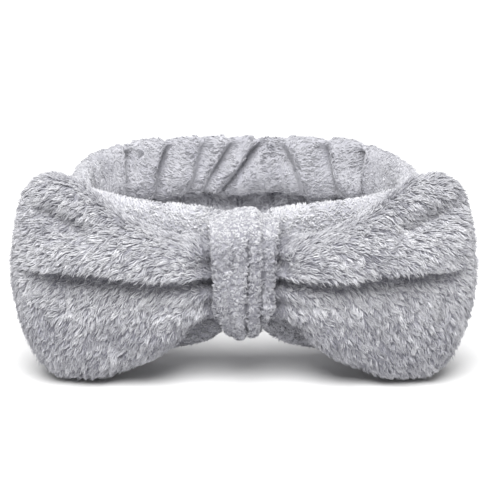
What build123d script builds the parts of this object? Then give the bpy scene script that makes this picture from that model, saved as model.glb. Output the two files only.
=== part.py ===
from build123d import *
import math
import os

# Spa headband: a stretchy ring of coral fleece with a large fleece bow on its front.
# Origin: middle of the bounding box in plan, on the surface that it rests on.
# +X to the wearer's left, -Y to the front (the bow's side), +Z up. Millimetres.

# Overall
BOW_HALF_WIDTH = 107.5
TOTAL_DEPTH = 176.0
WING_TOP = 100.0

# Band ring: outlines are superellipses round the ring's centre
BAND_HALF_WIDTH = 91.0
BAND_HALF_DEPTH = 77.0
BAND_THICKNESS = 16.0
BAND_TOP = 82.0
BAND_EDGE_ROUND = 6.5
FRONT_SQUARENESS = 2.2
REAR_SQUARENESS = 2.8
RING_Y = TOTAL_DEPTH / 2 - BAND_HALF_DEPTH
OUTLINE_POINTS = 28

# Where the ring is cut into its cloth pieces, measured from the ring's centre
SIDE_SEAM_Y = RING_Y - 6.0
REAR_CUT_Y = RING_Y + 48.0
SEAM_GAP = 1.6
REAR_SEAM_WIDTH = 2.4

# Closing seam of the front tube, a low ridge on its inner face
TUBE_SEAM_HEIGHT = 2.5
TUBE_SEAM_PROUD = 1.2
TUBE_SEAM_LIFT = 3.0

# Arch under the front of the band, where the knot lifts it
ARCH_HALF_SPAN = 60.0
ARCH_RISE = 20.0
ARCH_DEPTH = 20.0
# Shares of the half span, and of the rise there
ARCH_CURVE = [(0.33, 0.74), (0.66, 0.24)]
ARCH_FOOT = -0.5

# Flat elastic inside the gathered casing
ELASTIC_WIDTH = 25.0
ELASTIC_THICKNESS = 1.4
ELASTIC_MIDDLE_Z = 44.0
ELASTIC_CHANNEL_PLAY = 0.7
TACK_LENGTH = 6.0
TACK_THICKNESS = 1.2

# Knot wrap, a strip of fleece round the bow's waist and the band
KNOT_HALF_WIDTH = 17.0
KNOT_FRONT_Y = -TOTAL_DEPTH / 2
KNOT_BACK_Y = RING_Y - BAND_HALF_DEPTH + BAND_THICKNESS + 1.5
KNOT_BOTTOM = 22.0
KNOT_TOP = 82.0
KNOT_CLOTH = 6.0
KNOT_ROUND = 8.0
KNOT_SEAM_WIDTH = 3.0
KNOT_SEAM_DEPTH = 1.5
# The strip is wide over the top and drawn in underneath: (half width, z)
KNOT_SIDE = [(9.4, 21.0), (10.4, 27.0), (13.8, 40.0), (14.6, 56.0), (16.2, 72.0), (17.0, 83.0)]

# Where the knot squeezes the band and the bow's waist
WAIST_HALF_WIDTH = 17.2
WAIST_CORNER = 3.0
THREAD_CORNER = 2.0
PINCH_CLEARANCE = 0.7
PINCH_HALF_WIDTH = KNOT_HALF_WIDTH + 0.6
WAIST_BACK_Y = RING_Y - BAND_HALF_DEPTH - 1.5
THREAD_RADIUS = 0.6
THREAD_TURNS = 4
THREAD_PITCH = 2.2
THREAD_PLAY = 0.175

# Bow wing on +X: rounded sections along X, each (x, front y, back y, bottom z, top z, corner)
WING_SECTIONS = [
    (17.8, -82.0, -68.0, 26.0, 69.0, 6.0),
    (36.0, -86.0, -62.5, 14.0, 75.5, 11.0),
    (60.0, -88.0, -54.0, 2.5, 88.5, 16.0),
    (80.0, -87.8, -50.5, -0.5, 99.5, 18.0),
    (93.0, -86.0, -51.5, 5.5, 99.5, 16.0),
    (102.0, -82.0, -56.0, 21.0, 91.0, 11.0),
    (107.8, -75.5, -62.5, 40.0, 69.0, 6.0),
]
WING_SEAM_THICKNESS = 1.2
WING_SEAM_INSET = 0.93
WING_SEAM_START_X = 30.0

BIG = 400.0


def superellipse(inset, squareness, share):
    """Point on the outline that lies `inset` inside the band's outer face."""
    angle = 2 * math.pi * share
    power = 2 / squareness
    c, s = math.cos(angle), math.sin(angle)
    x = math.copysign(abs(c) ** power, c) * (BAND_HALF_WIDTH - inset)
    y = math.copysign(abs(s) ** power, s) * (BAND_HALF_DEPTH - inset)
    return x, RING_Y + y


def ring_face(inset):
    """Closed face inside the ring outline, squarer at the rear than at the front."""
    points = []
    for i in range(OUTLINE_POINTS):
        share = i / OUTLINE_POINTS
        squareness = REAR_SQUARENESS if share < 0.5 else FRONT_SQUARENESS
        points.append(superellipse(inset, squareness, share))
    return make_face(Spline(points, periodic=True))


def ring_wall(outer_inset, inner_inset, bottom, top):
    """Upright wall between two ring outlines."""
    face = ring_face(outer_inset) - ring_face(inner_inset)
    return extrude(Pos(0, 0, bottom) * face, top - bottom)


def block(x0, x1, y0, y1, z0, z1):
    """Box from its lowest and highest corners."""
    middle = Pos((x0 + x1) / 2, (y0 + y1) / 2, (z0 + z1) / 2)
    return middle * Box(x1 - x0, y1 - y0, z1 - z0)


def between_y(y0, y1, side=0):
    """All of space between two planes across Y, on one side of X if asked."""
    x0 = 0 if side > 0 else -BIG
    x1 = 0 if side < 0 else BIG
    return block(x0, x1, y0, y1, -BIG, BIG)


def full_band():
    """The whole ring of cloth, with softly rounded rims."""
    ring = ring_wall(0, BAND_THICKNESS, 0, BAND_TOP)
    rims = ring.edges().filter_by_position(Axis.Z, 0, 0) + ring.edges().filter_by_position(
        Axis.Z, BAND_TOP, BAND_TOP
    )
    return fillet(rims, BAND_EDGE_ROUND)


def arch():
    """Prism that is cut from under the front of the band."""
    half = ARCH_HALF_SPAN
    right = [(across * half, up * ARCH_RISE) for across, up in ARCH_CURVE]
    right.append((half, ARCH_FOOT))
    left = [(-x, z) for x, z in reversed(right)]
    curve = Spline(left + [(0, ARCH_RISE)] + right)
    closing = Polyline(
        [(half, ARCH_FOOT), (half, -ARCH_DEPTH), (-half, -ARCH_DEPTH), (-half, ARCH_FOOT)]
    )
    profile = make_face([curve, closing])
    prism = extrude(Plane.XZ * profile, BIG, both=True)
    return prism & between_y(-BIG, SIDE_SEAM_Y)


def pinch():
    """What the knot squeezes out of the front of the band: all but a flat core."""
    reach = PINCH_HALF_WIDTH
    outside = block(-reach, reach, -BIG, 0, -BIG, BIG)
    core = block(
        -reach,
        reach,
        WAIST_BACK_Y + PINCH_CLEARANCE,
        KNOT_BACK_Y - KNOT_CLOTH - PINCH_CLEARANCE,
        KNOT_BOTTOM + KNOT_CLOTH + PINCH_CLEARANCE,
        KNOT_TOP - KNOT_CLOTH - PINCH_CLEARANCE,
    )
    return outside - core


def front_band(band):
    """Smooth fleece tube across the forehead, from side seam to side seam."""
    front = band & between_y(-BIG, SIDE_SEAM_Y - SEAM_GAP / 2)
    return front - arch() - pinch()


def side_seam(band, side):
    """Sewn join between the front tube and the gathered casing."""
    return band & between_y(SIDE_SEAM_Y - SEAM_GAP / 2, SIDE_SEAM_Y + SEAM_GAP / 2, side)


def elastic_space(play):
    """Wall that the elastic fills, wider by `play` on every face."""
    middle = BAND_THICKNESS / 2
    half = ELASTIC_THICKNESS / 2 + play
    z0 = ELASTIC_MIDDLE_Z - ELASTIC_WIDTH / 2 - play
    wall = ring_wall(middle - half, middle + half, z0, z0 + ELASTIC_WIDTH + 2 * play)
    return wall & between_y(SIDE_SEAM_Y + SEAM_GAP / 2, BIG)


def elastic_tack(side):
    """Row of strong stitches that holds one end of the elastic in its side seam."""
    middle = BAND_THICKNESS / 2
    half = ELASTIC_THICKNESS / 2
    z0 = ELASTIC_MIDDLE_Z - ELASTIC_WIDTH / 2
    y0 = SIDE_SEAM_Y + SEAM_GAP / 2
    wall = ring_wall(middle - half - TACK_THICKNESS, middle - half, z0, z0 + ELASTIC_WIDTH)
    return wall & between_y(y0, y0 + TACK_LENGTH, side)


def side_casing(band, side):
    """Gathered fleece between a side seam and the rear, which opens as the band stretches."""
    piece = band & between_y(SIDE_SEAM_Y + SEAM_GAP / 2, REAR_CUT_Y, side)
    return piece - elastic_space(ELASTIC_CHANNEL_PLAY) - elastic_tack(side)


def rear_casing(band, side):
    """Gathered fleece on one half of the rear, up to the rear seam."""
    piece = band & between_y(REAR_CUT_Y, BIG, side)
    seam = block(-REAR_SEAM_WIDTH / 2, REAR_SEAM_WIDTH / 2, 0, BIG, -BIG, BIG)
    return piece - elastic_space(ELASTIC_CHANNEL_PLAY) - seam


def rear_seam(band):
    """Sewn join of the two rear halves."""
    seam = block(-REAR_SEAM_WIDTH / 2, REAR_SEAM_WIDTH / 2, 0, BIG, -BIG, BIG)
    return (band & seam) - elastic_space(ELASTIC_CHANNEL_PLAY)


def tube_seam():
    """Long closing seam of the front tube, low on its inner face."""
    low = ARCH_RISE + TUBE_SEAM_LIFT
    inner = BAND_THICKNESS + TUBE_SEAM_PROUD
    ridge = ring_wall(BAND_THICKNESS, inner, low, low + TUBE_SEAM_HEIGHT)
    ridge = ridge & between_y(-BIG, SIDE_SEAM_Y - SEAM_GAP / 2)
    return ridge - block(-PINCH_HALF_WIDTH, PINCH_HALF_WIDTH, -BIG, 0, -BIG, BIG)


def side_profile(y0, y1, z0, z1, corner):
    """Rounded rectangle in the plane across X."""
    plane = Plane(origin=(0, (y0 + y1) / 2, (z0 + z1) / 2), x_dir=(0, 1, 0), z_dir=(1, 0, 0))
    return plane * RectangleRounded(y1 - y0, z1 - z0, corner)


def knot_wrap():
    """Fleece strip wound round the bow's waist and the band, as a closed loop."""
    outside = side_profile(KNOT_FRONT_Y, KNOT_BACK_Y, KNOT_BOTTOM, KNOT_TOP, KNOT_ROUND)
    inside = side_profile(
        KNOT_FRONT_Y + KNOT_CLOTH,
        KNOT_BACK_Y - KNOT_CLOTH,
        KNOT_BOTTOM + KNOT_CLOTH,
        KNOT_TOP - KNOT_CLOTH,
        KNOT_ROUND - KNOT_CLOTH,
    )
    loop = extrude(outside - inside, KNOT_HALF_WIDTH, both=True)
    return (loop & knot_front_view()) - knot_seam_space()


def knot_front_view():
    """Prism along Y with the knot's outline as seen from the front."""
    top, bottom = KNOT_SIDE[-1], KNOT_SIDE[0]
    right = Spline(KNOT_SIDE)
    left = Spline([(-x, z) for x, z in KNOT_SIDE])
    over = Line(top, (-top[0], top[1]))
    under = Line(bottom, (-bottom[0], bottom[1]))
    profile = make_face([right, over, left, under])
    return extrude(Plane.XZ * profile, BIG, both=True)


def knot_seam_space():
    """Slot in the back of the loop that the hand stitches close."""
    half = KNOT_SEAM_WIDTH / 2
    z0 = KNOT_BOTTOM + KNOT_ROUND
    z1 = KNOT_TOP - KNOT_ROUND
    return block(-half, half, KNOT_BACK_Y - KNOT_SEAM_DEPTH, KNOT_BACK_Y + 1, z0, z1)


def knot_seam():
    """Hand-sewn closing of the knot wrap, on the side towards the head."""
    return knot_seam_space() & between_y(-BIG, KNOT_BACK_Y)


def bow_waist():
    """Middle of the bow, gathered flat inside the knot wrap."""
    front = KNOT_FRONT_Y + KNOT_CLOTH + PINCH_CLEARANCE
    bottom = KNOT_BOTTOM + KNOT_CLOTH + PINCH_CLEARANCE
    top = KNOT_TOP - KNOT_CLOTH - PINCH_CLEARANCE
    profile = side_profile(front, WAIST_BACK_Y, bottom, top, WAIST_CORNER)
    waist = extrude(profile, WAIST_HALF_WIDTH, both=True)
    return waist - thread_turns(THREAD_PLAY)


def thread_turns(play):
    """Turns of strong thread round the bow's middle, wider by `play` on every face."""
    inset = THREAD_RADIUS
    front = KNOT_FRONT_Y + KNOT_CLOTH + PINCH_CLEARANCE + inset
    bottom = KNOT_BOTTOM + KNOT_CLOTH + PINCH_CLEARANCE + inset
    top = KNOT_TOP - KNOT_CLOTH - PINCH_CLEARANCE - inset
    half = THREAD_RADIUS + play
    turns = []
    for i in range(THREAD_TURNS):
        x = (i - (THREAD_TURNS - 1) / 2) * THREAD_PITCH
        outside = side_profile(
            front - half, WAIST_BACK_Y - inset + half, bottom - half, top + half, WAIST_CORNER
        )
        inside = side_profile(
            front + half, WAIST_BACK_Y - inset - half, bottom + half, top - half, THREAD_CORNER
        )
        turns.append(Pos(x, 0, 0) * extrude(outside - inside, half, both=True))
    return turns


def waist_thread():
    """The thread that gathers the bow's middle."""
    return Compound(children=thread_turns(0))


def wing_body():
    """Puffy fleece wing on +X, a loft through its rounded sections."""
    sections = []
    for x, y0, y1, z0, z1, corner in WING_SECTIONS:
        sections.append(Pos(x, 0, 0) * side_profile(y0, y1, z0, z1, corner))
    room = block(0, BOW_HALF_WIDTH, KNOT_FRONT_Y, 0, 0, WING_TOP)
    return loft(sections) & room


def wing_and_seam():
    """The wing on +X, and the strip of its edge seam that lies in it all round."""
    wing = wing_body()
    box = wing.bounding_box()
    middle = box.center()
    core = Pos(*middle) * scale(Pos(*-middle) * wing, WING_SEAM_INSET)
    y = middle.Y
    half = WING_SEAM_THICKNESS / 2
    slab = block(WING_SEAM_START_X, BIG, y - half, y + half, -BIG, BIG)
    seam = (wing & slab) - core
    return wing - seam, seam


def mirrored(shape):
    return mirror(shape, about=Plane.YZ)


def save(node, shape):
    solids = shape.solids()
    whole = solids[0] if len(solids) == 1 else Compound(children=list(solids))
    export_step(whole, f"parts/{node}.step")
    print(f"{node}: {len(solids)} solid(s), {sum(s.volume for s in solids):.0f} mm3")


os.makedirs("parts", exist_ok=True)

band = full_band()
save("front_band", front_band(band))
save("tube_seam", tube_seam())
for name, side in (("left", -1), ("right", 1)):
    save(f"side_seam_{name}", side_seam(band, side))
    save(f"side_casing_{name}", side_casing(band, side))
    save(f"rear_casing_{name}", rear_casing(band, side))
    save(f"elastic_tack_{name}", elastic_tack(side))
save("rear_seam", rear_seam(band))
save("elastic", elastic_space(0))
save("knot_wrap", knot_wrap())
save("knot_seam", knot_seam())
save("bow_waist", bow_waist())
save("waist_thread", waist_thread())
wing, seam = wing_and_seam()
save("bow_wing_right", wing)
save("wing_seam_right", seam)
save("bow_wing_left", mirrored(wing))
save("wing_seam_left", mirrored(seam))
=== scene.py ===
import math
import bpy
import numpy as np
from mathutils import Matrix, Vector, kdtree


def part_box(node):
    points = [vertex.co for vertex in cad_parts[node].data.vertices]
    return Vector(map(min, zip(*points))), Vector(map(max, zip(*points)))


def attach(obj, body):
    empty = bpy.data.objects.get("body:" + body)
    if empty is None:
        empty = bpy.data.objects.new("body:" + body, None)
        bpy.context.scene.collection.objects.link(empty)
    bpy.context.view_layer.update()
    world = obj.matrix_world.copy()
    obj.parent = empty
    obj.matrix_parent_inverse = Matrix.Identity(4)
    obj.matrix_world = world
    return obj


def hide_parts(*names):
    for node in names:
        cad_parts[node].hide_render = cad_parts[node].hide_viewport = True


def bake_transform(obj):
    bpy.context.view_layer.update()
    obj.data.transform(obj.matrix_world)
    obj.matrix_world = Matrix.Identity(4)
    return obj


# A spa headband: fleece ring with gathered elastic rear, fleece bow and knot.
# Every skin is a closed cloth form, and its pile is grown on it as closed tapered tufts.
# Shapes are worked out in millimetres and written as metres.

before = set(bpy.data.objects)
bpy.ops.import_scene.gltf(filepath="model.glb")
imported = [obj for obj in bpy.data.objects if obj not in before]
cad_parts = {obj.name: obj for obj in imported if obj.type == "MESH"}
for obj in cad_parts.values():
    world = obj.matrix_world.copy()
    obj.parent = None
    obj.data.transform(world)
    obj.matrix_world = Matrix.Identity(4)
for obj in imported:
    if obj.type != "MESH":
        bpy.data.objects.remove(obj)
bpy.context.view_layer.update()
MM = 0.001


def box_mm(node):
    low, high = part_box(node)
    return np.array(low) / MM, np.array(high) / MM


# ---------------------------------------------------------------- sizes from the frame

KNOT_LOW, KNOT_HIGH = box_mm("knot_wrap")
FRONT_HIGH = box_mm("front_band")[1]
REAR_HIGH = box_mm("rear_casing_right")[1]
SIDE_LOW, SIDE_HIGH = box_mm("side_casing_right")

# The ring's middle lies a little behind the side seams
SEAM_TO_RING_MIDDLE = 5.2
RING_Y = SIDE_LOW[1] + SEAM_TO_RING_MIDDLE
RING_HALF_WIDTH = FRONT_HIGH[0]
RING_HALF_DEPTH = REAR_HIGH[1] - RING_Y
BAND_WALL = 16.0
BAND_TOP = REAR_HIGH[2]
SEAM_Y = SIDE_LOW[1]
FRONT_SQUARENESS = 2.2
REAR_SQUARENESS = 2.8

# Room that the band's cloth leaves for its pile, the pile's height over the floor, and the
# cloth's height over that
BAND_PILE = 3.0
FLOOR_GAP = 0.4
SKIN_LIFT = 0.8


# ---------------------------------------------------------------- small helpers

EASING_READS = 9
SECTION_READS = 4001


def waves(points, wavelength, seed, count=7):
    """Smooth noise, about -1 to 1, from a few crossing waves."""
    rng = np.random.default_rng(seed)
    total = np.zeros(len(points))
    for _ in range(count):
        heading = rng.normal(size=3)
        heading *= 2 * math.pi / (wavelength * rng.uniform(0.7, 1.5) * np.linalg.norm(heading))
        total += np.sin(points @ heading + rng.uniform(0, 2 * math.pi))
    return total / math.sqrt(count)


def unit(vectors):
    length = np.linalg.norm(vectors, axis=-1, keepdims=True)
    return vectors / np.maximum(length, 1e-9)


def bump(distance, width):
    """1 at distance 0, falling smoothly to 0 over a few widths."""
    return np.exp(-((distance / width) ** 2))


def ramp(value, start, end):
    """0 before start, 1 after end, smooth between."""
    share = np.clip((value - start) / (end - start), 0, 1)
    return share * share * (3 - 2 * share)


def eased(x, rows, reach):
    """Rows of (x, value, ...) read at x, with their corners rounded off over the reach."""
    table = np.array(rows)
    shifts = np.linspace(-reach, reach, EASING_READS)
    columns = []
    for column in range(1, table.shape[1]):
        reads = [np.interp(x + s, table[:, 0], table[:, column]) for s in shifts]
        columns.append(np.mean(reads, axis=0))
    return columns


def even_section(half_y, half_z, power_y, power_z, count):
    """Points evenly spaced round a rounded section, as shares of its half sizes."""
    angle = np.linspace(0, 2 * math.pi, SECTION_READS)
    y = np.sign(np.cos(angle)) * np.abs(np.cos(angle)) ** (2 / power_y)
    z = np.sign(np.sin(angle)) * np.abs(np.sin(angle)) ** (2 / power_z)
    step = np.hypot(np.diff(y * half_y), np.diff(z * half_z))
    along = np.concatenate([[0], np.cumsum(step)])
    want = np.arange(count) * along[-1] / count
    return np.interp(want, along, y), np.interp(want, along, z)


def mesh_object(name, points_mm, faces):
    mesh = bpy.data.meshes.new(name)
    mesh.from_pydata((np.asarray(points_mm) * MM).tolist(), [], faces)
    mesh.polygons.foreach_set("use_smooth", [True] * len(mesh.polygons))
    mesh.update()
    piece = bpy.data.objects.new(name, mesh)
    bpy.context.scene.collection.objects.link(piece)
    return piece


def lofted(name, rings, closed_loop=False):
    """Closed skin through rings of points; open ends are closed to their middles."""
    rings = np.asarray(rings)
    n_rings, n_round = rings.shape[:2]
    points = rings.reshape(-1, 3)
    faces = []
    last = n_rings if closed_loop else n_rings - 1
    for i in range(last):
        a, b = i * n_round, ((i + 1) % n_rings) * n_round
        for j in range(n_round):
            k = (j + 1) % n_round
            faces.append((a + j, a + k, b + k, b + j))
    if not closed_loop:
        ends = np.array([rings[0].mean(axis=0), rings[-1].mean(axis=0)])
        first_middle = len(points)
        points = np.concatenate([points, ends])
        top = (n_rings - 1) * n_round
        for j in range(n_round):
            k = (j + 1) % n_round
            faces.append((first_middle, k, j))
            faces.append((first_middle + 1, top + j, top + k))
    piece = mesh_object(name, points, faces)
    face_outward(piece)
    return piece


def face_outward(piece):
    """Turns the faces over if the closed mesh is inside out."""
    mesh = piece.data
    volume = 0.0
    for polygon in mesh.polygons:
        corners = [mesh.vertices[i].co for i in polygon.vertices]
        for j in range(1, len(corners) - 1):
            volume += corners[0].dot(corners[j].cross(corners[j + 1]))
    if volume < 0:
        mesh.flip_normals()


def subdivide(piece):
    modifier = piece.modifiers.new("Subdivision", "SUBSURF")
    modifier.levels = 1
    modifier.render_levels = 1
    apply_modifiers(piece)


def apply_modifiers(piece):
    depsgraph = bpy.context.evaluated_depsgraph_get()
    mesh = bpy.data.meshes.new_from_object(piece.evaluated_get(depsgraph))
    piece.modifiers.clear()
    piece.data = mesh
    mesh.polygons.foreach_set("use_smooth", [True] * len(mesh.polygons))


def vertices_of(mesh):
    points = np.empty(len(mesh.vertices) * 3)
    mesh.vertices.foreach_get("co", points)
    return points.reshape(-1, 3)


LEAST_GRIP = 0.01


def puff(piece, held, pressure, frames, cap_mm):
    """Cloth simulation with a little air pressure; held gives each vertex's grip, 0 to 1.
    No vertex ends up further than cap_mm from where it was."""
    group = piece.vertex_groups.new(name="held")
    for index, grip in enumerate(held):
        if grip > LEAST_GRIP:
            group.add([index], float(grip), "REPLACE")
    before = vertices_of(piece.data)
    cloth = piece.modifiers.new("Cloth", "CLOTH")
    settings = cloth.settings
    settings.quality = 6
    settings.mass = 0.25
    settings.tension_stiffness = 12
    settings.compression_stiffness = 12
    settings.shear_stiffness = 6
    settings.bending_stiffness = 0.6
    settings.use_pressure = True
    settings.uniform_pressure_force = pressure
    settings.vertex_group_mass = "held"
    settings.effector_weights.gravity = 0.0
    cloth.point_cache.frame_start = 1
    cloth.point_cache.frame_end = frames
    scene = bpy.context.scene
    for number in range(1, frames + 1):
        scene.frame_set(number)
    apply_modifiers(piece)
    scene.frame_set(1)
    after = vertices_of(piece.data)
    move = after - before
    length = np.linalg.norm(move, axis=1, keepdims=True)
    limit = cap_mm * MM
    move *= np.minimum(1, limit / np.maximum(length, 1e-9))
    piece.data.vertices.foreach_set("co", (before + move).ravel())
    piece.data.update()
    piece.vertex_groups.clear()


# ---------------------------------------------------------------- materials

def node_material(name):
    """A new node material, and its shader."""
    material = bpy.data.materials.new(name)
    material.use_nodes = True
    return material, material.node_tree.nodes["Principled BSDF"]


def pile_material(name, color):
    """One shade of the pile's fibres, used for random tone and for painted light and shade."""
    material, shader = node_material(name)
    shader.inputs["Base Color"].default_value = (*color, 1)
    shader.inputs["Roughness"].default_value = 0.85
    shader.inputs["Specular IOR Level"].default_value = 0.25
    shader.inputs["Sheen Weight"].default_value = 0.35
    shader.inputs["Sheen Roughness"].default_value = 0.4
    shader.inputs["Sheen Tint"].default_value = (0.95, 0.95, 1, 1)
    return material


def ground_material(name, dark, light, scale):
    """Knitted ground of the fleece, seen between the tufts: mottled and finely looped."""
    material, shader = node_material(name)
    nodes, links = material.node_tree.nodes, material.node_tree.links
    place = nodes.new("ShaderNodeTexCoord")
    mottle = nodes.new("ShaderNodeTexNoise")
    mottle.inputs["Scale"].default_value = scale
    mottle.inputs["Detail"].default_value = 4
    loops = nodes.new("ShaderNodeTexVoronoi")
    loops.inputs["Scale"].default_value = 900
    colors = nodes.new("ShaderNodeValToRGB")
    colors.color_ramp.elements[0].color = (*dark, 1)
    colors.color_ramp.elements[1].color = (*light, 1)
    colors.color_ramp.elements[0].position = 0.3
    colors.color_ramp.elements[1].position = 0.7
    relief = nodes.new("ShaderNodeBump")
    relief.inputs["Strength"].default_value = 0.6
    relief.inputs["Distance"].default_value = 0.0006
    links.new(place.outputs["Object"], mottle.inputs["Vector"])
    links.new(place.outputs["Object"], loops.inputs["Vector"])
    links.new(mottle.outputs["Fac"], colors.inputs["Fac"])
    links.new(colors.outputs["Color"], shader.inputs["Base Color"])
    links.new(loops.outputs["Distance"], relief.inputs["Height"])
    links.new(relief.outputs["Normal"], shader.inputs["Normal"])
    shader.inputs["Roughness"].default_value = 0.95
    shader.inputs["Specular IOR Level"].default_value = 0.15
    shader.inputs["Sheen Weight"].default_value = 0.3
    return material


# The fleece's ground is darker than its pile, partly painted shade of the deep pile; the band's
# ground is a lighter copy, painted light for the lit band.
GROUND = ground_material("fleece_ground_painted_shade", (0.22, 0.22, 0.25), (0.34, 0.34, 0.37), 90)
BAND_GROUND_PAINTED_LIGHT = ground_material("band_ground_painted_light", (0.36, 0.36, 0.40), (0.50, 0.50, 0.53), 70)
PILE_SHADES = [
    pile_material("pile_root", (0.25, 0.25, 0.285)),
    pile_material("pile_deep", (0.37, 0.37, 0.405)),
    pile_material("pile_mid", (0.50, 0.50, 0.535)),
    pile_material("pile_pale", (0.62, 0.62, 0.65)),
    pile_material("pile_tip", (0.74, 0.74, 0.765)),
]


# ---------------------------------------------------------------- the pile

# Where a tuft's three rings lie along it, and how wide each one is, as shares
RING_STATIONS = np.array([0.0, 0.36, 0.72])
TUFT_WIDTHS = np.array([0.85, 1.0, 0.62])
TUFT_RINGS = 3
TUFT_SIDES = 3
TUFT_POINTS = TUFT_RINGS * TUFT_SIDES + 1
# Depth of the roots under the cloth's face, and how a tuft droops towards its tip
ROOT_DEPTH = 0.5
TUFT_DROOP = 0.38
LEAST_LIFT, MOST_LIFT = 0.12, 1.3
TUFTS_PER_PIECE = 12000
LAST_SHADE = 4


def skin_samples(skin, per_mm2, rng):
    """Random roots spread evenly over a skin: points and normals, in millimetres."""
    mesh = skin.data
    mesh.calc_loop_triangles()
    corners = np.empty(len(mesh.loop_triangles) * 3, dtype=np.int64)
    mesh.loop_triangles.foreach_get("vertices", corners)
    corners = corners.reshape(-1, 3)
    points = vertices_of(mesh) / MM
    normals = np.empty(len(mesh.vertices) * 3)
    mesh.vertices.foreach_get("normal", normals)
    normals = normals.reshape(-1, 3)
    a, b, c = (points[corners[:, i]] for i in range(3))
    area = np.linalg.norm(np.cross(b - a, c - a), axis=1) / 2
    count = int(area.sum() * per_mm2)
    pick = rng.choice(len(area), count, p=area / area.sum())
    u, v = rng.random((2, count))
    u = np.sqrt(u)
    weights = np.stack([1 - u, u * (1 - v), u * v], axis=1)[:, :, None]
    roots = (points[corners[pick]] * weights).sum(axis=1)
    facing = unit((normals[corners[pick]] * weights).sum(axis=1))
    return roots, facing


def clumped(roots, size_mm, per_mm2, rng):
    """For each root, the number of the clump that it belongs to, and the clumps' roots."""
    count = max(8, int(len(roots) / (per_mm2 * size_mm * size_mm)))
    centres = roots[rng.choice(len(roots), count, replace=False)]
    tree = kdtree.KDTree(count)
    for index, centre in enumerate(centres):
        tree.insert(centre, index)
    tree.balance()
    owner = np.array([tree.find(root)[1] for root in roots])
    return owner, centres


def tuft_paths(roots, normals, comb, look, keeps, rng):
    """Stations along each tuft, each tuft's clump, and the number of clumps."""
    owner, centres = clumped(roots, look["clump"], look["density"], rng)
    clump_turn = rng.normal(0, look["turn"], len(centres))
    clump_lift = rng.normal(1, 0.22, len(centres))
    lay = comb(roots, normals)
    lay = unit(lay - (lay * normals).sum(axis=1, keepdims=True) * normals)
    turn = clump_turn[owner] + rng.normal(0, look["stray"], len(roots))
    across = np.cross(normals, lay)
    lay = lay * np.cos(turn)[:, None] + across * np.sin(turn)[:, None]
    across = np.cross(normals, lay)
    length = look["length"] * keeps * rng.uniform(0.72, 1.18, len(roots))
    lift = look["lift"] * clump_lift[owner] + rng.normal(0, 0.1, len(roots))
    lift = np.clip(lift, LEAST_LIFT, MOST_LIFT)
    swing = look["wave"] * length
    phase = rng.uniform(0, 2 * math.pi, len(centres))[owner]
    phase = phase + rng.normal(0, 0.5, len(roots))
    gather = (centres[owner] - roots) * look["gather"]
    gather -= (gather * normals).sum(axis=1, keepdims=True) * normals
    stations = []
    for t in (*RING_STATIONS, 1.0):
        forward = (length * np.cos(lift) * t)[:, None] * lay
        height = length * np.sin(lift) * (t - TUFT_DROOP * t * t) - ROOT_DEPTH
        upward = height[:, None] * normals
        sideways = (swing * t * np.sin(3.6 * t + phase))[:, None] * across
        point = roots + forward + upward + sideways + gather * t * t
        point[:, 2] = np.maximum(point[:, 2], FLOOR_GAP * 0.8)
        stations.append(point)
    return np.stack(stations, axis=1), owner, len(centres)


def tuft_mesh(name, paths, normals, width, shade):
    """One mesh of closed three-sided tapered tufts."""
    count = len(paths)
    points = np.empty((count, TUFT_POINTS, 3))
    for ring in range(TUFT_RINGS):
        heading = unit(paths[:, ring + 1] - paths[:, max(ring - 1, 0)])
        side = unit(np.cross(normals, heading))
        up = np.cross(heading, side)
        radius = width * TUFT_WIDTHS[ring] / 2
        for corner in range(TUFT_SIDES):
            angle = 2 * math.pi * corner / TUFT_SIDES + math.pi / 6
            reach = math.cos(angle) * side + 0.8 * math.sin(angle) * up
            points[:, ring * TUFT_SIDES + corner] = paths[:, ring] + radius * reach
    points[:, -1] = paths[:, -1]
    root_face, tip_faces = (2, 1, 0), [(6, 7, 9), (7, 8, 9), (8, 6, 9)]
    quads = []
    for low in (0, TUFT_SIDES):
        for corner in range(TUFT_SIDES):
            after = (corner + 1) % TUFT_SIDES
            high = low + TUFT_SIDES
            quads.append((low + corner, low + after, high + after, high + corner))
    faces = [*quads, root_face, *tip_faces]
    corner_list = np.array([i for face in faces for i in face])
    sizes = np.array([len(face) for face in faces])
    base = (np.arange(count) * TUFT_POINTS)[:, None]
    loops = (corner_list[None, :] + base).ravel()
    totals = np.tile(sizes, count)
    starts = np.concatenate([[0], np.cumsum(totals)[:-1]])
    mesh = bpy.data.meshes.new(name)
    mesh.vertices.add(count * TUFT_POINTS)
    mesh.vertices.foreach_set("co", (points * MM).ravel())
    mesh.loops.add(len(loops))
    mesh.loops.foreach_set("vertex_index", loops)
    mesh.polygons.add(len(totals))
    mesh.polygons.foreach_set("loop_start", starts)
    mesh.polygons.foreach_set("loop_total", totals)
    # Darker roots and paler tips: painted shade low in each tuft and painted light at its tip.
    root_slot = np.clip(shade - 1, 0, LAST_SHADE)
    tip_slot = np.clip(shade + 1, 0, LAST_SHADE)
    slots = np.stack([root_slot] * 3 + [shade] * 3 + [root_slot] + [tip_slot] * 3, axis=1)
    mesh.polygons.foreach_set("material_index", slots.ravel())
    mesh.polygons.foreach_set("use_smooth", np.ones(len(totals), dtype=bool))
    mesh.update(calc_edges=True)
    piece = bpy.data.objects.new(name, mesh)
    bpy.context.scene.collection.objects.link(piece)
    for material in PILE_SHADES:
        mesh.materials.append(material)
    return piece


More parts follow.
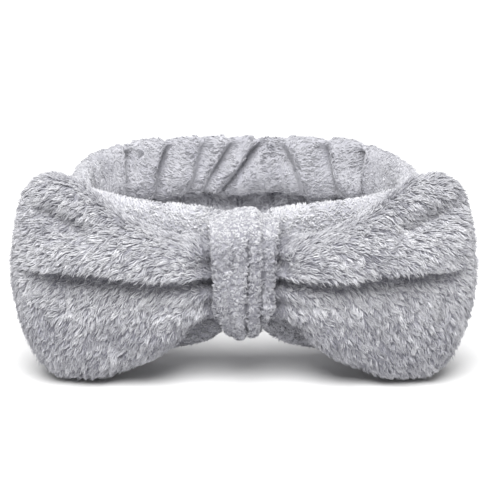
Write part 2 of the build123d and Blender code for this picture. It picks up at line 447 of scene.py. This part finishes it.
def grow_pile(name, skin, look, comb, trim, seed, keep=None):
    """Pile over a skin, or over the part of it that keep marks, as pieces of tufts.
    comb gives the way the tufts lie; trim gives their share of the length, and a change of
    shade, which is painted light and shade."""
    rng = np.random.default_rng(seed)
    roots, normals = skin_samples(skin, look["density"], rng)
    if keep is not None:
        shown = keep(roots, normals)
        roots, normals = roots[shown], normals[shown]
    keeps, painted_light_and_shade = trim(roots)
    paths, owner, clumps = tuft_paths(roots, normals, comb, look, keeps, rng)
    tone = rng.normal(0, 0.55, clumps)[owner] + rng.normal(0, 0.35, len(roots))
    tone += 0.30 * waves(roots, 24, seed + 5)
    tone = look["tone"] + painted_light_and_shade + look["mix"] * tone
    shade = np.clip(np.rint(tone), 0, LAST_SHADE).astype(int)
    order = np.argsort(owner, kind="stable")
    pieces = []
    for part, first in enumerate(range(0, len(order), TUFTS_PER_PIECE)):
        chosen = order[first:first + TUFTS_PER_PIECE]
        label = f"{name}_{part + 1}"
        piece = tuft_mesh(label, paths[chosen], normals[chosen], look["width"], shade[chosen])
        pieces.append(piece)
    return pieces


# ---------------------------------------------------------------- the ring's path

PATH_READS = 7201


def ring_path():
    """Dense points along the middle of the band's wall, from the front towards +X."""
    angle = np.linspace(-math.pi / 2, 1.5 * math.pi, PATH_READS)
    squareness = np.where(np.sin(angle) > 0, REAR_SQUARENESS, FRONT_SQUARENESS)
    c, s = np.cos(angle), np.sin(angle)
    x = np.sign(c) * np.abs(c) ** (2 / squareness) * (RING_HALF_WIDTH - BAND_WALL / 2)
    y = np.sign(s) * np.abs(s) ** (2 / squareness) * (RING_HALF_DEPTH - BAND_WALL / 2)
    step = np.hypot(np.diff(x), np.diff(y))
    along = np.concatenate([[0], np.cumsum(step)])
    return along, x, y + RING_Y


ALONG, PATH_X, PATH_Y = ring_path()
RING_LENGTH = ALONG[-1]


def ring_point(s):
    """Position and outward direction on the ring at arc length s."""
    s = np.mod(s, RING_LENGTH)
    x, y = np.interp(s, ALONG, PATH_X), np.interp(s, ALONG, PATH_Y)
    ahead, behind = np.mod(s + 2, RING_LENGTH), np.mod(s - 2, RING_LENGTH)
    dx = np.interp(ahead, ALONG, PATH_X) - np.interp(behind, ALONG, PATH_X)
    dy = np.interp(ahead, ALONG, PATH_Y) - np.interp(behind, ALONG, PATH_Y)
    size = np.hypot(dx, dy)
    return x, y, dy / size, -dx / size


def arc_at_y(y):
    """Arc length on the +X half where the path crosses y."""
    half = ALONG < RING_LENGTH / 2
    return float(np.interp(y, PATH_Y[half], ALONG[half]))


def arc_at_rear_x(x):
    """Arc length on the rear wall at x."""
    rear = PATH_Y > RING_Y + 0.6 * RING_HALF_DEPTH
    order = np.argsort(PATH_X[rear])
    return float(np.interp(x, PATH_X[rear][order], ALONG[rear][order]))


SEAM_ARC = arc_at_y(SEAM_Y)
REAR_MIDDLE = RING_LENGTH / 2
# Half the gap between the front tube and the gathered casing at a side seam
SEAM_HALF_GAP = 0.2


def band_skin(name, start, end, step, shape, round_count=64):
    """Closed tube of cloth along the ring. shape(s, side, height) gives offsets and heights."""
    count = int(abs(end - start) / step) + 1
    side, height = even_section(5.5, 38, 2.0, 7.0, round_count)
    rings = []
    for s in np.linspace(start, end, count):
        x, y, nx, ny = ring_point(s)
        offset, z = shape(s, side, height)
        rings.append(np.stack([x + nx * offset, y + ny * offset, z], axis=1))
    return lofted(name, rings)


# ---------------------------------------------------------------- front band

ARCH_RISE = 14.5
ARCH_HALF_SPAN = 60.0
# How far the cloth's rim stays under the band's along the sides, and what it gains elsewhere
RIM_DROP = 5.4
RIM_GAIN_FRONT = 4.4
RIM_GAIN_REAR = 2.0
# What the knot does to the band inside it
KNOT_LIFTS = 13
KNOT_LOWERS = 4.5
KNOT_THINS = 1.8
# Half width of the band that the knot hides, and the part of the band under the bow that gets
# painted shade
KNOT_HIDES = 10
SHADED_HALF_WIDTH = 60
SHADED_FRONT_OF = -30
SHADED_TOP = 34


def side_rim(s):
    """Height of the skin's rim: highest in front, and lowest along the smooth sides."""
    y = float(ring_point(s)[1])
    front = RIM_GAIN_FRONT * float(ramp(-y, -5, 40))
    rear = RIM_GAIN_REAR * float(ramp(y, 60, 68))
    return BAND_TOP - RIM_DROP + front + rear


def front_shape(s, side, height):
    """Smooth puffy tube, arched under the knot and squeezed by it."""
    x = float(ring_point(s)[0])
    near = float(bump(x, 17.0))
    squeeze = float(bump(x, 15.0) ** 2)
    arch = ARCH_RISE * max(0.0, 1 - (x / ARCH_HALF_SPAN) ** 2) ** 1.4
    low = FLOOR_GAP + SKIN_LIFT + arch + KNOT_LIFTS * squeeze
    high = side_rim(s) - KNOT_LOWERS * near
    half = (high - low) / 2
    z = (high + low) / 2 + half * height
    thick = BAND_WALL / 2 - BAND_PILE + 0.4 - KNOT_THINS * squeeze
    ripple = 0.9 * math.sin(s / 23.0) * np.cos(z / 19.0) + 0.5 * math.sin(s / 9.0 + 1.3)
    offset = thick * side + ripple * 0.6
    return offset, z


def band_shown(roots, normals):
    """All but what lies inside the knot."""
    return np.abs(roots[:, 0]) > KNOT_HIDES


def band_trim(roots):
    """Longer pile where the knot bunches up the band's rim, with painted light there, and painted
    shade on the pile under the wings.
    """
    bunched = bump(roots[:, 0], 30) * ramp(roots[:, 2], BAND_TOP - 14, BAND_TOP - 5)
    under = bump(roots[:, 0], 62) * ramp(roots[:, 2], 40, 30)
    return 1 + 0.6 * bunched, 0.5 * bunched - 3.0 * under


def front_band():
    """Front tube from side seam to side seam."""
    start, end = -SEAM_ARC + SEAM_HALF_GAP, SEAM_ARC - SEAM_HALF_GAP
    piece = band_skin("front_band_cloth", start, end, 3.0, front_shape)
    subdivide(piece)
    return piece


def paint_shade_under_bow(piece):
    """Paints shade on the part of the front band that lies low behind the bow, by giving it the
    darker ground.
    """
    piece.data.materials.append(GROUND)
    for face in piece.data.polygons:
        x, y, z = np.array(face.center) / MM
        behind_bow = abs(x) < SHADED_HALF_WIDTH and y < SHADED_FRONT_OF
        face.material_index = int(behind_bow and z < SHADED_TOP)


# ---------------------------------------------------------------- gathered casing

# Creases of the gathers on the rear wall: x at the rim, how far each one leans, in x, on its
# way down the wall's upper half, and how deep it is
REAR_CREASES = [
    (-63.5, -3.0, 1.25),
    (-40.2, -10.5, 1.1),
    (-18.8, -11.5, 0.75),
    (-4.0, -18.5, 1.0),
    (12.7, -25.5, 1.2),
    (14.2, 9.0, 0.5),
    (19.0, 13.0, 0.85),
    (41.0, 12.0, 0.95),
    (63.0, 4.0, 1.25),
]
# The one crease on each side wall, and the height over which the creases lean
SIDE_CREASE_Y = 36.0
CREASE_FALL = 34.0
# The recessed lower half inside the ring, and the roll above it
UNDER_EDGE_Z = 47.0
UNDER_DEPTH = 8.0
ROLL_Z = 56
ROLL_PROUD = 2.6
# A crease of depth 1, and the width of its sheer side and of its slow side
GATHER_DEPTH = 6.2
GATHER_EDGE = 1.3
GATHER_SLOPE = 6.0
RIM_NOTCH = 1.8
# From this far before the rear's middle, the creases overlap the other way
OVERLAP_SWITCH = 14
# Ruffles of the cloth's outside
RUFFLE_COUNT = 17
RUFFLE_DEPTH = 5.0
RUFFLE_WIDTH = 2.6
# The inner cloth lies less far outwards from the wall's middle than this, the outer further
INNER_LIMIT = 2.5


def crease_table():
    """Arc length at the rim, lean in arc length and depth of every crease inside the ring."""
    side_arc = arc_at_y(SIDE_CREASE_Y)
    rows = [(side_arc, -6.0, 0.5)]
    for x, lean, depth in reversed(REAR_CREASES):
        rows.append((arc_at_rear_x(x), -lean, depth))
    rows.append((RING_LENGTH - side_arc, 6.0, 0.5))
    return np.array(rows)


CREASES = crease_table()
# The sunken panel lies between this crease and the next
HOLLOW_CREASE = 4
HOLLOW_DEPTH = 0.3
OUTER_CREASES = np.linspace(SEAM_ARC + 7, RING_LENGTH - SEAM_ARC - 7, RUFFLE_COUNT)


def overlapped(gap, width):
    """Depth beside a crease: sheer on one side of it, and rising slowly on the other."""
    sheer = np.exp(-((np.maximum(gap, 0) / GATHER_EDGE) ** 2))
    slow = np.exp(-((np.minimum(gap, 0) / width) ** 2))
    return np.where(gap > 0, sheer, slow)


def crease_line(arc, lean, fall, z):
    """Arc length of a crease at each height."""
    return arc + lean * fall + 0.7 * np.sin(z / 4.3 + arc)


def hollow(s, z):
    """1 in the sunken panel between the two creases that part near the rear's middle."""
    fall = np.clip((BAND_TOP - z) / CREASE_FALL, 0, 1.3)
    near, far = CREASES[HOLLOW_CREASE], CREASES[HOLLOW_CREASE + 1]
    first = crease_line(near[0], near[1], fall, z)
    last = crease_line(far[0], far[1], fall, z)
    return ramp(s - first, 0, 2) * ramp(last - s, 0, 2)


def gather_depth(s, z):
    """How far the inner cloth sinks at arc length s, and how far the rim does."""
    fall = np.clip((BAND_TOP - z) / CREASE_FALL, 0, 1.3)
    sunk = HOLLOW_DEPTH * hollow(s, z)
    for arc, lean, depth in CREASES:
        gap = s - crease_line(arc, lean, fall, z)
        if arc > REAR_MIDDLE - OVERLAP_SWITCH:
            gap = -gap
        strength = depth * (0.40 + 0.60 * bump(fall - 0.45, 0.40))
        sunk = np.maximum(sunk, strength * overlapped(-gap, GATHER_SLOPE))
    return sunk


def outer_depth(s, z):
    """Ruffles of the outer cloth, pressed in by the elastic at mid height."""
    drift = 2.5 * np.sin(z / 17.0 + s / 31.0)
    nearest = np.min(np.abs(s + drift[:, None] - OUTER_CREASES[None]), axis=1)
    return bump(nearest, RUFFLE_WIDTH) * (0.45 + 0.55 * bump(z - 45, 20))


def casing_shape(s, side, height):
    """Gathered tube: folds, and inside an upper roll that overhangs a recessed lower half."""
    low, high = FLOOR_GAP + SKIN_LIFT, side_rim(s)
    z = (high + low) / 2 + (high - low) / 2 * height
    thick = BAND_WALL / 2 - BAND_PILE + 1.2
    across = np.abs(side) ** 0.5
    gathered = float(ramp(ring_point(s)[1], 30, 60))
    folds = GATHER_DEPTH * gather_depth(s, z) * ramp(z, high + 1, high - 5)
    wobble = 1.2 * math.sin(s / 7.0) * bump(z - 47, 9)
    roll = ROLL_PROUD * bump(z - ROLL_Z - wobble, 9)
    under = UNDER_DEPTH * ramp(z - wobble, UNDER_EDGE_Z + 1.5, UNDER_EDGE_Z - 1.5) * ramp(z, 2, 20)
    inside = folds + gathered * (under - roll)
    outside = RUFFLE_DEPTH * outer_depth(s, z)
    depth = np.where(side < 0, inside, outside)
    depth = np.minimum(depth, thick + 2.0)
    offset = thick * side - np.sign(side) * depth * across
    offset = offset + 0.9 * math.sin(s / 11.0) * np.cos(z / 23.0)
    notch = RIM_NOTCH * gather_depth(s, np.full_like(z, high - 6)) * ramp(z, high - 12, high)
    return offset, z - notch


def casing_trim(roots):
    """Shorter pile in the creases; painted shade in the creases, in the sunken panel and under
    the roll, and painted light along the sides."""
    angle = np.arctan2(roots[:, 1] - RING_Y, roots[:, 0])
    path_angle = np.unwrap(np.arctan2(PATH_Y - RING_Y, PATH_X))
    turned = np.mod(angle - path_angle[0], 2 * math.pi)
    arc = np.interp(turned, path_angle - path_angle[0], ALONG)
    x, y, nx, ny = ring_point(arc)
    outward = (roots[:, 0] - x) * nx + (roots[:, 1] - y) * ny
    creased = gather_depth(arc, roots[:, 2])
    inner = outward < INNER_LIMIT
    sunk = ramp(creased, 0.7, 1.05) * inner
    dim = hollow(arc, roots[:, 2]) * inner
    under = ramp(roots[:, 2], UNDER_EDGE_Z + 2, UNDER_EDGE_Z - 1) * inner * ramp(y, 30, 60)
    side = ramp(y, 58, 40) * (1 - under)
    return 1 - 0.4 * sunk, 0.9 * side - 0.6 * sunk - 0.4 * dim - 0.8 * under


def casing():
    """The gathered casing in one tube from side seam to side seam."""
    start, end = SEAM_ARC + SEAM_HALF_GAP, RING_LENGTH - SEAM_ARC - SEAM_HALF_GAP
    return band_skin("gathered_casing_cloth", start, end, 1.0, casing_shape, 90)


# ---------------------------------------------------------------- bow wings

# x, then the wing skin's bottom, top, front and back there, all for the wing on +X
WING_ROWS = [
    (9.0, 33.0, 69.0, -75.5, -68.0),
    (18.0, 34.5, 70.0, -79.5, -67.0),
    (23.5, 31.0, 70.5, -83.0, -66.0),
    (29.0, 23.5, 71.0, -84.0, -64.5),
    (38.0, 16.5, 73.0, -85.0, -62.0),
    (52.0, 9.0, 78.5, -85.2, -57.5),
    (66.0, 4.5, 87.5, -84.5, -54.5),
    (79.0, 2.6, 96.0, -84.0, -53.0),
    (90.0, 2.6, 98.0, -83.0, -53.0),
    (106.0, 2.6, 98.0, -80.0, -56.0),
]
# x, then the height of the main pleat, and how deep it is
PLEAT_ROWS = [
    (9.0, 54.5, 2.5),
    (17.0, 55.5, 4.5),
    (30.0, 57.0, 8.5),
    (45.0, 58.5, 12.5),
    (62.0, 61.5, 14.0),
    (76.0, 62.5, 13.0),
    (88.0, 61.5, 9.0),
    (96.0, 60.0, 4.0),
    (101.0, 59.0, 0.0),
]
ROWS_REACH = 4.0
WING_START = 9
WING_END = 104.9
END_ROUND = 11.0
# The outer edge is pulled in above and below this height, by so much at the ends
EDGE_WAIST_Z = 50.0
TOP_PULLED_IN = 7.5
BOTTOM_PULLED_IN = 13.5
# The pleat's parts, as shares of its depth: the fold above hangs over, and its lip droops,
# while the cloth below is recessed, and the back of the wing gives way
OVERHANG = 0.36
LIP = 0.30
RECESS = 0.78
BACK_GIVES = 0.40
DIMPLE_DEPTH = 8.5
DIMPLE_X = 86
GATHERS_DEPTH = 2.3


def wing_rings(side_sign, seed):
    """Rings of points from the wing's root in the knot to its rounded outer edge."""
    round_from = WING_END - END_ROUND
    turn = np.linspace(0, 1, 9)[1:] * math.pi / 2
    straight = np.linspace(WING_START, round_from, 42)
    stations = np.concatenate([straight, round_from + END_ROUND * np.sin(turn)])
    section_y, section_z = even_section(15, 44, 2.3, 3.4, 150)
    rings = []
    for x in stations:
        row = eased(np.array([x]), WING_ROWS, ROWS_REACH)
        low, high, front, back = (float(v[0]) for v in row)
        past = max(0.0, (x - round_from) / END_ROUND)
        close = math.sqrt(max(0.004, 1 - past ** 2))
        y = (front + back) / 2 + (back - front) / 2 * section_y * close
        half = (high - low) / 2 - END_ROUND * (1 - close)
        z = (low + high) / 2 + half * section_z
        rings.append(wing_folds(x, y, z, section_y, seed))
    rings = np.array(rings)
    off = (rings[:, :, 2] - EDGE_WAIST_Z) / 46.0
    pulled_in = np.where(off > 0, TOP_PULLED_IN, BOTTOM_PULLED_IN) * np.abs(off) ** 1.9
    rings[:, :, 0] -= pulled_in * ramp(rings[:, :, 0], 35, WING_END) ** 1.5
    rings[:, :, 0] *= side_sign
    return rings


def wing_folds(x, y, z, section_y, seed):
    """Presses the pleat, the dimples and the gathers at the knot into one ring of a wing."""
    pleat_z, depth = (float(v[0]) for v in eased(np.array([x]), PLEAT_ROWS, ROWS_REACH))
    off = z - pleat_z
    front = np.clip(-section_y, 0, 1) ** 0.6
    above = ramp(off, -1.4, 0.2)
    overhang = OVERHANG * depth * bump(off - 4, 10) * above
    recess = RECESS * depth * np.exp(np.minimum(off + 1.0, 0) / 13) * (1 - above)
    lip = LIP * depth * bump(off - 1.5, 5.0) * above
    dimple_z = 73 + (x - 66) * 0.38
    dimple = DIMPLE_DEPTH * bump(z - dimple_z, 6.5) * float(bump(x - DIMPLE_X, 20))
    lower_soft = 2.0 * bump(z - 24, 9) * float(bump(x - 62, 16))
    lower_soft = lower_soft + 2.4 * bump(z - 36, 11) * float(bump(x - 91, 3.5))
    gathers = GATHERS_DEPTH * np.sin((z - 50) * 0.62 + 1.1) * math.exp(-(x - 12) / 13)
    back = np.clip(section_y, 0, 1) ** 0.6
    y = y + front * (recess - overhang + dimple + lower_soft + gathers)
    y = y - back * BACK_GIVES * depth * bump(z - 50, 10)
    z = z - front * lip
    points = np.stack([np.full_like(y, x), y, z], axis=1)
    soft = waves(points * np.array([1, 0.3, 1]), 26, seed)
    points[:, 1] += 0.7 * soft * np.sign(section_y)
    return points


def wing(name, side_sign, seed):
    """One wing's cloth, puffed up between the knot and the pleat, which are held."""
    piece = lofted(name, wing_rings(side_sign, seed))
    points = vertices_of(piece.data) / MM
    x = np.abs(points[:, 0])
    pleat_z = eased(x, PLEAT_ROWS, ROWS_REACH)[0]
    in_pleat = bump(points[:, 2] - pleat_z, 7) * (points[:, 1] < -60) * ramp(x, 100, 80)
    held = np.clip(1 - ramp(x, 16, 26) + in_pleat, 0, 1)
    puff(piece, held, pressure=2.5, frames=14, cap_mm=3.0)
    subdivide(piece)
    return piece


# ---------------------------------------------------------------- knot

# Height on the knot, and its skin's half width there
KNOT_ROWS = [
    (21.0, 7.6),
    (27.0, 8.2),
    (33.0, 10.0),
    (40.0, 13.8),
    (47.0, 12.9),
    (57.0, 13.7),
    (66.0, 14.2),
    (75.0, 15.6),
    (84.0, 15.8),
]
# How far the loop's middle line lies inside the knot's outline, and how thick its cloth is
KNOT_LIFT = 5.0
KNOT_CLOTH = 3.2
KNOT_CROWN = 1.5
# Upright creases of the knot's front: x, width and depth
KNOT_CREASES = [(1.6, 1.0, 3.4), (8.2, 1.0, 3.8), (-5.4, 1.6, 1.5)]
KNOT_MIDDLE_Y = (KNOT_LOW[1] + KNOT_HIGH[1]) / 2
KNOT_MIDDLE_Z = (KNOT_LOW[2] + KNOT_HIGH[2]) / 2


def knot_crease_depth(x, z):
    """How far the knot's front sinks, in millimetres."""
    drift = 0.6 * np.sin(z / 8.0)
    return sum(depth * bump(x - place - drift, width) for place, width, depth in KNOT_CREASES)


def knot():
    """The strip round the bow's middle: rolled edges, upright creases, a lumpy top."""
    half_y = (KNOT_HIGH[1] - KNOT_LOW[1]) / 2 - KNOT_LIFT
    half_z = (KNOT_HIGH[2] - KNOT_LOW[2]) / 2 - KNOT_LIFT
    way_y, way_z = even_section(half_y, half_z, 2.7, 3.2, 110)
    across, out = even_section(15, 3.4, 3.0, 2.2, 64)
    rings = []
    for dy, dz in zip(way_y, way_z):
        normal = unit(np.array([0.0, dy * abs(dy) / half_y, dz * abs(dz) / half_z]))
        centre = np.array([0.0, KNOT_MIDDLE_Y + dy * half_y, KNOT_MIDDLE_Z + dz * half_z])
        x = across * float(eased(np.array([centre[2]]), KNOT_ROWS, 2.0)[0][0])
        outer = np.clip(out, 0, 1) ** 0.5
        front = float(ramp(-dy, -0.1, 0.5)) * (1 - 0.8 * float(ramp(dz, 0.72, 0.95)))
        folds = knot_crease_depth(x, np.full_like(x, centre[2])) * front
        where = np.stack([x, np.full_like(x, dy * 30), np.full_like(x, centre[2])], axis=1)
        lumps = 0.6 * waves(where, 12, 44)
        over = float(ramp(dz, 0.5, 0.9))
        lumps = lumps - over * (3.6 * bump(x - 10.5, 3.2) + 2.2 * ramp(-x, 4, 14))
        crown = KNOT_CROWN * (1 - (x / 16) ** 2)
        rise = out * KNOT_CLOTH + outer * (crown - folds + lumps)
        ring = centre + np.stack([x, np.zeros_like(x), np.zeros_like(x)], axis=1)
        rings.append(ring + rise[:, None] * normal)
    return lofted("knot_cloth", rings, closed_loop=True)


def knot_trim(roots):
    """Short pile in the creases and over the top, with painted light on top and painted shade in
    the creases.
    """
    over = ramp(roots[:, 2], KNOT_HIGH[2] - 13, KNOT_HIGH[2] - 4)
    front = ramp(roots[:, 1], KNOT_MIDDLE_Y, KNOT_MIDDLE_Y - 8)
    sunk = ramp(knot_crease_depth(roots[:, 0], roots[:, 2]), 0.9, 2.0) * front * (1 - over)
    return (1 - 0.75 * sunk) * (1 - 0.35 * over), 3.2 * over - 2.6 * sunk


def knot_shown(roots, normals):
    """The knot's outer faces, which are the ones that show their pile."""
    away = roots - np.array([0.0, KNOT_MIDDLE_Y, KNOT_MIDDLE_Z])
    away[:, 0] = 0
    return (normals * unit(away)).sum(axis=1) > -0.25


# ---------------------------------------------------------------- how each pile lies

# Tufts per square millimetre; their length, width, lift (in radians) and waviness; the clumps'
# size, pull and turn; each tuft's own turn; the middle shade, and how much the shades vary
WING_LOOK = dict(density=2.4, length=5.3, width=0.47, lift=0.62, wave=0.13, clump=2.1,
                 gather=0.60, turn=0.20, stray=0.10, tone=2.35, mix=1.2)
KNOT_LOOK = dict(density=4.6, length=2.6, width=0.42, lift=0.9, wave=0.22, clump=1.7,
                 gather=0.8, turn=0.9, stray=0.3, tone=1.35, mix=1.1)
# The front band's high middle shade is painted light for its lit top.
FRONT_LOOK = dict(density=2.1, length=2.5, width=0.5, lift=0.8, wave=0.10, clump=1.7,
                  gather=0.45, turn=0.5, stray=0.3, tone=3.6, mix=0.45)
CASING_LOOK = dict(density=2.0, length=3.3, width=0.50, lift=0.36, wave=0.08, clump=2.2,
                   gather=0.4, turn=0.3, stray=0.15, tone=1.75, mix=0.4)


def wing_trim(roots):
    """Share of its length that each tuft keeps, and its change of shade: short, with painted
    shade, inside the main pleat and beside the knot, and painted shade low down."""
    pleat_z, depth = eased(np.abs(roots[:, 0]), PLEAT_ROWS, ROWS_REACH)
    off = roots[:, 2] - pleat_z + LIP * depth
    inside = ramp(off, -9, -2) * ramp(off, 1.0, -0.6) * (roots[:, 1] < -66) * ramp(depth, 2, 8)
    low = ramp(roots[:, 2], 52, 18)
    pinch = ramp(np.abs(roots[:, 0]), 20.5, 16.5) * (roots[:, 1] < -66)
    return 1 - 0.55 * inside - 0.3 * pinch, -2.0 * inside - 1.1 * low - 1.8 * pinch


def comb_wing(sign):
    """Outwards and down over a wing, and fanning out from the pinch beside the knot."""
    def comb(roots, normals):
        x = roots[:, 0] * sign
        z = roots[:, 2]
        fan = np.stack([np.maximum(x - 8, 1), np.zeros_like(x), (z - 54) * 1.0], axis=1)
        droop = 0.60 + 1.60 * ramp(z, 60, 34)
        laid = np.stack([np.ones_like(x), np.zeros_like(x), -droop], axis=1)
        share = ramp(x, 20, 46)[:, None]
        lay = unit(fan) * (1 - share) + laid * share
        lay[:, 2] += 0.12 * waves(roots * [sign, 1, 1], 30, 71)
        lay[:, 0] *= sign
        return lay
    return comb


def comb_knot(roots, normals):
    """Curly in the middle and on top, and brushed outwards over the rolled edges."""
    x, z = roots[:, 0], roots[:, 2]
    curl = np.stack(
        [waves(roots, 5, 81), 0.4 * waves(roots, 5, 82), waves(roots, 5, 83) - 0.4], axis=1
    )
    edge = np.stack([np.sign(x), np.zeros(len(roots)), np.full(len(roots), 0.1)], axis=1)
    edge += 0.5 * curl
    share = ramp(np.abs(x), 8, 12) * ramp(z, KNOT_HIGH[2] - 8, KNOT_HIGH[2] - 20)
    share = share[:, None]
    return curl * (1 - share) + edge * share


def comb_band(roots, normals):
    """Brushed along the band and a little upwards."""
    along = np.cross(normals, [0, 0, 1.0])
    drift = np.stack([waves(roots, 18, seed) for seed in (91, 92, 93)], axis=1)
    return along * 0.6 + np.array([0, 0, 0.5]) + 0.5 * drift


def comb_casing(roots, normals):
    """Brushed upwards and away from the middle of the rear."""
    away = np.sign(roots[:, 0] + 2.0)
    lay = np.stack([away * 0.8, np.zeros_like(away), np.full_like(away, 0.45)], axis=1)
    lay += 0.35 * np.stack([waves(roots, 15, seed) for seed in (95, 96, 97)], axis=1)
    return lay


# ---------------------------------------------------------------- build

WING_FOLD_SEED = 31


def dress(piece, material, body=None):
    """Gives a cloth its material and slot, and its body if it rides on just one."""
    piece.data.materials.clear()
    piece.data.materials.append(material)
    if body is not None:
        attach(piece, body)


def build():
    """Every piece of the headband: the front band, the knot, the gathered casing, the wings."""
    front = front_band()
    dress(front, BAND_GROUND_PAINTED_LIGHT, "band")
    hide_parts("front_band", "tube_seam", "side_seam_left", "side_seam_right")
    # Painted shade on the band's low part behind the bow.
    paint_shade_under_bow(front)
    for tufts in grow_pile(
        "front_band_pile", front, FRONT_LOOK, comb_band, band_trim, 11, band_shown
    ):
        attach(tufts, "band")

    loop = knot()
    dress(loop, GROUND, "band")
    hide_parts("knot_wrap", "knot_seam", "bow_waist", "waist_thread")
    for tufts in grow_pile("knot_pile", loop, KNOT_LOOK, comb_knot, knot_trim, 12, knot_shown):
        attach(tufts, "band")

    tube = casing()
    casing_pile = grow_pile("casing_pile", tube, CASING_LOOK, comb_casing, casing_trim, 13)
    dress(tube, BAND_GROUND_PAINTED_LIGHT)
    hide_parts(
        "side_casing_left", "side_casing_right", "rear_casing_left", "rear_casing_right",
        "rear_seam", "elastic", "elastic_tack_left", "elastic_tack_right",
    )
    for piece in (tube, *casing_pile):
        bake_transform(piece)

    for label, sign, seed in (("left", -1, 21), ("right", 1, 22)):
        cloth = wing(f"bow_wing_{label}_cloth", sign, WING_FOLD_SEED)
        pile = grow_pile(
            f"bow_wing_{label}_pile", cloth, WING_LOOK, comb_wing(sign), wing_trim, seed
        )
        dress(cloth, GROUND)
        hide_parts(f"bow_wing_{label}", f"wing_seam_{label}")
        for piece in (cloth, *pile):
            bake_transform(piece)


# ---------------------------------------------------------------- floor, light, camera

def studio():
    """Pale floor, white surroundings, and one broad soft light from above the front."""
    bpy.ops.mesh.primitive_plane_add(size=8, location=(0, 0, 0))
    floor = bpy.context.object
    floor.name = "floor"
    material, shader = node_material("white_floor")
    shader.inputs["Base Color"].default_value = (0.78, 0.78, 0.78, 1)
    shader.inputs["Roughness"].default_value = 0.8
    floor.data.materials.append(material)
    world = bpy.data.worlds.new("studio")
    world.use_nodes = True
    world.node_tree.nodes["Background"].inputs["Color"].default_value = (1, 1, 1, 1)
    world.node_tree.nodes["Background"].inputs["Strength"].default_value = 0.36
    bpy.context.scene.world = world
    bpy.context.scene.view_settings.view_transform = "Standard"
    key = bpy.data.lights.new("broad_key", "SUN")
    key.energy = 5.2
    key.angle = math.radians(44)
    lamp = bpy.data.objects.new("broad_key", key)
    lamp.rotation_euler = (math.radians(28), 0, math.radians(-4))
    bpy.context.scene.collection.objects.link(lamp)


CAMERA_DISTANCE = 0.900
CAMERA_ELEVATION = math.radians(18)
CAMERA_TARGET = Vector((0.0005, 0.004, 0.0422))
CAMERA_LENS = 132.8


def camera():
    """Camera at the photo's view angle, with everything in focus."""
    data = bpy.data.cameras.new("camera")
    data.lens = CAMERA_LENS
    data.sensor_width = 36
    obj = bpy.data.objects.new("camera", data)
    back = Vector((0, -math.cos(CAMERA_ELEVATION), math.sin(CAMERA_ELEVATION)))
    obj.location = CAMERA_TARGET + back * CAMERA_DISTANCE
    obj.rotation_euler = (-back).to_track_quat("-Z", "Y").to_euler()
    bpy.context.scene.collection.objects.link(obj)
    bpy.context.scene.camera = obj


camera()
studio()
build()
